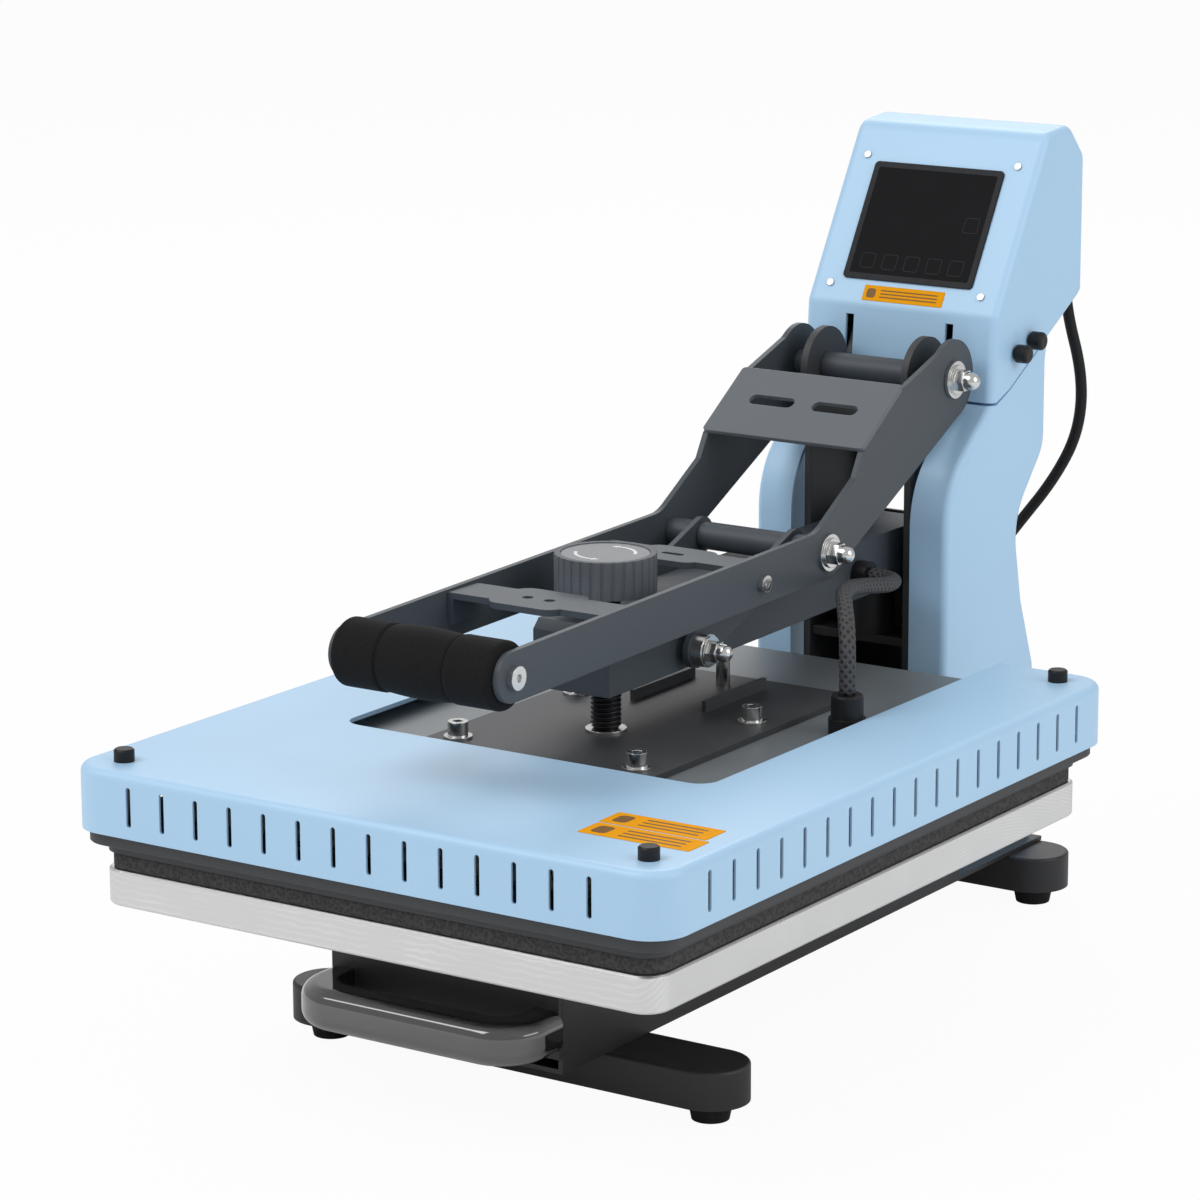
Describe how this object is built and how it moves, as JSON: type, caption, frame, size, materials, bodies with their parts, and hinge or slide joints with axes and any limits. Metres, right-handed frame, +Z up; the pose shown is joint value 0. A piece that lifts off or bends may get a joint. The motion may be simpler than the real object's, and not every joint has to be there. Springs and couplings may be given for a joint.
{
  "type": "flat heat press",
  "caption": "Flat heat press with a heated upper platen on a swinging arm, a toggle lever, a sliding lower platen and a control head.",
  "frame": {"origin": "middle of the machine's footprint on the bench, between the heat cover's front and the head's back", "axes": "+X to the user's right, +Y away from the user, +Z up"},
  "size_m": [0.4323, 0.9397, 0.5265],
  "materials": {
    "sky_paint": "satin",
    "graphite_paint": "satin",
    "black_steel": "satin",
    "milled_aluminium": "brushed",
    "bright_steel": "polished",
    "zinc_steel": "satin",
    "black_plastic": "matte",
    "gloss_black": "gloss",
    "knob_plastic": "matte",
    "disc_plastic": "matte",
    "dark_silicone": "matte",
    "black_rubber": "matte",
    "grip_foam": "matte",
    "braided_sleeve": "matte",
    "mineral_wool": "matte",
    "circuit_board": "satin",
    "panel_glass": "gloss"
  },
  "bodies": {
    "base": {"rubber_feet": "black_rubber", "cross_feet": "graphite_paint", "base_channel": "black_steel", "slide_outer_rails": "zinc_steel", "post_plates": "graphite_paint", "post_back_plate": "black_steel", "post_cover_left": "sky_paint", "post_cover_right": "sky_paint", "head_shell": "sky_paint", "screen_glass": "panel_glass", "face_screws": "bright_steel", "head_bracket": "black_steel", "head_knobs": "black_plastic", "head_back_panel": "sky_paint", "head_electronics": "circuit_board", "switch_frame": "black_plastic", "cord_gland": "black_rubber", "power_cord": "black_rubber", "cord_coil": "black_rubber", "cord_tail": "black_rubber", "power_plug": "black_rubber", "hold_magnet": "black_steel", "main_pivot": "bright_steel", "arm_shaft": "zinc_steel"},
    "drawer": {"slide_inner_rails": "zinc_steel", "drawer_carriage": "black_steel", "drawer_face": "black_steel", "pull_handle": "gloss_black", "lower_platen": "milled_aluminium", "silicone_pad": "dark_silicone"},
    "arm": {"swing_arm": "graphite_paint", "arm_blocks": "graphite_paint", "magnet_armature": "graphite_paint", "arm_gland": "black_plastic", "heater_hose": "braided_sleeve"},
    "upper_platen": {"heating_platen": "milled_aluminium", "heating_element": "bright_steel", "edge_frame": "graphite_paint", "insulation_blanket": "mineral_wool", "cover_plate": "graphite_paint", "heat_cover": "sky_paint", "cover_posts": "zinc_steel", "cover_thumb_screws": "black_plastic", "pressure_bracket": "graphite_paint", "bracket_fasteners": "bright_steel", "guide_rod": "bright_steel", "hose_gland": "black_plastic"},
    "pressure_control": {"pressure_screw": "black_steel", "pressure_knob": "knob_plastic", "knob_disc": "disc_plastic"},
    "lever": {"lever_plates": "graphite_paint", "lever_cross_plate": "graphite_paint", "lever_crossbars": "graphite_paint", "handle_bar": "zinc_steel", "handle_grip": "grip_foam", "lever_bolts": "bright_steel", "link_shaft": "bright_steel"},
    "link": {"link_pins": "bright_steel", "link_straps": "graphite_paint"},
    "switch": {"power_rocker": "black_plastic"}
  },
  "joints": [
    {"name": "drawer_slide", "type": "slide", "parent": "base", "child": "drawer", "axis": [0, -1, 0], "range_m": [0, 0.24]},
    {"name": "arm_lift", "type": "hinge", "parent": "base", "child": "arm", "pos_m": [0, 0.23995, 0.25], "axis": [-1, 0, 0], "range_deg": [0, 27.8]},
    {"name": "lever_swing", "type": "hinge", "parent": "base", "child": "lever", "pos_m": [0, 0.21695, 0.3719], "axis": [-1, 0, 0], "range_deg": [0, 60]},
    {"name": "link_swing", "type": "hinge", "parent": "lever", "child": "link", "pos_m": [0, 0.05795, 0.2849], "axis": [1, 0, 0], "range_deg": [0, 83.3]},
    {"name": "platen_height", "type": "slide", "parent": "arm", "child": "upper_platen", "axis": [0, 0, 1], "range_m": [0, 0.008], "deforming": ["heater_hose"]},
    {"name": "pressure_turn", "type": "hinge", "parent": "upper_platen", "child": "pressure_control", "pos_m": [0, -0.10505, 0.29], "axis": [0, 0, 1], "range_deg": [0, 961]},
    {"name": "rocker_tip", "type": "hinge", "parent": "base", "child": "switch", "pos_m": [-0.03, 0.36305, 0.46], "axis": [0, 0, -1], "range_deg": [0, 14]}
  ],
  "couplings": [
    {"joint": "lever_swing", "follows": "arm_lift", "ratio": 2.1583},
    {"joint": "link_swing", "follows": "arm_lift", "ratio": 2.9964},
    {"joint": "pressure_turn", "follows": "platen_height", "rad_per_m": 2094.4}
  ]
}
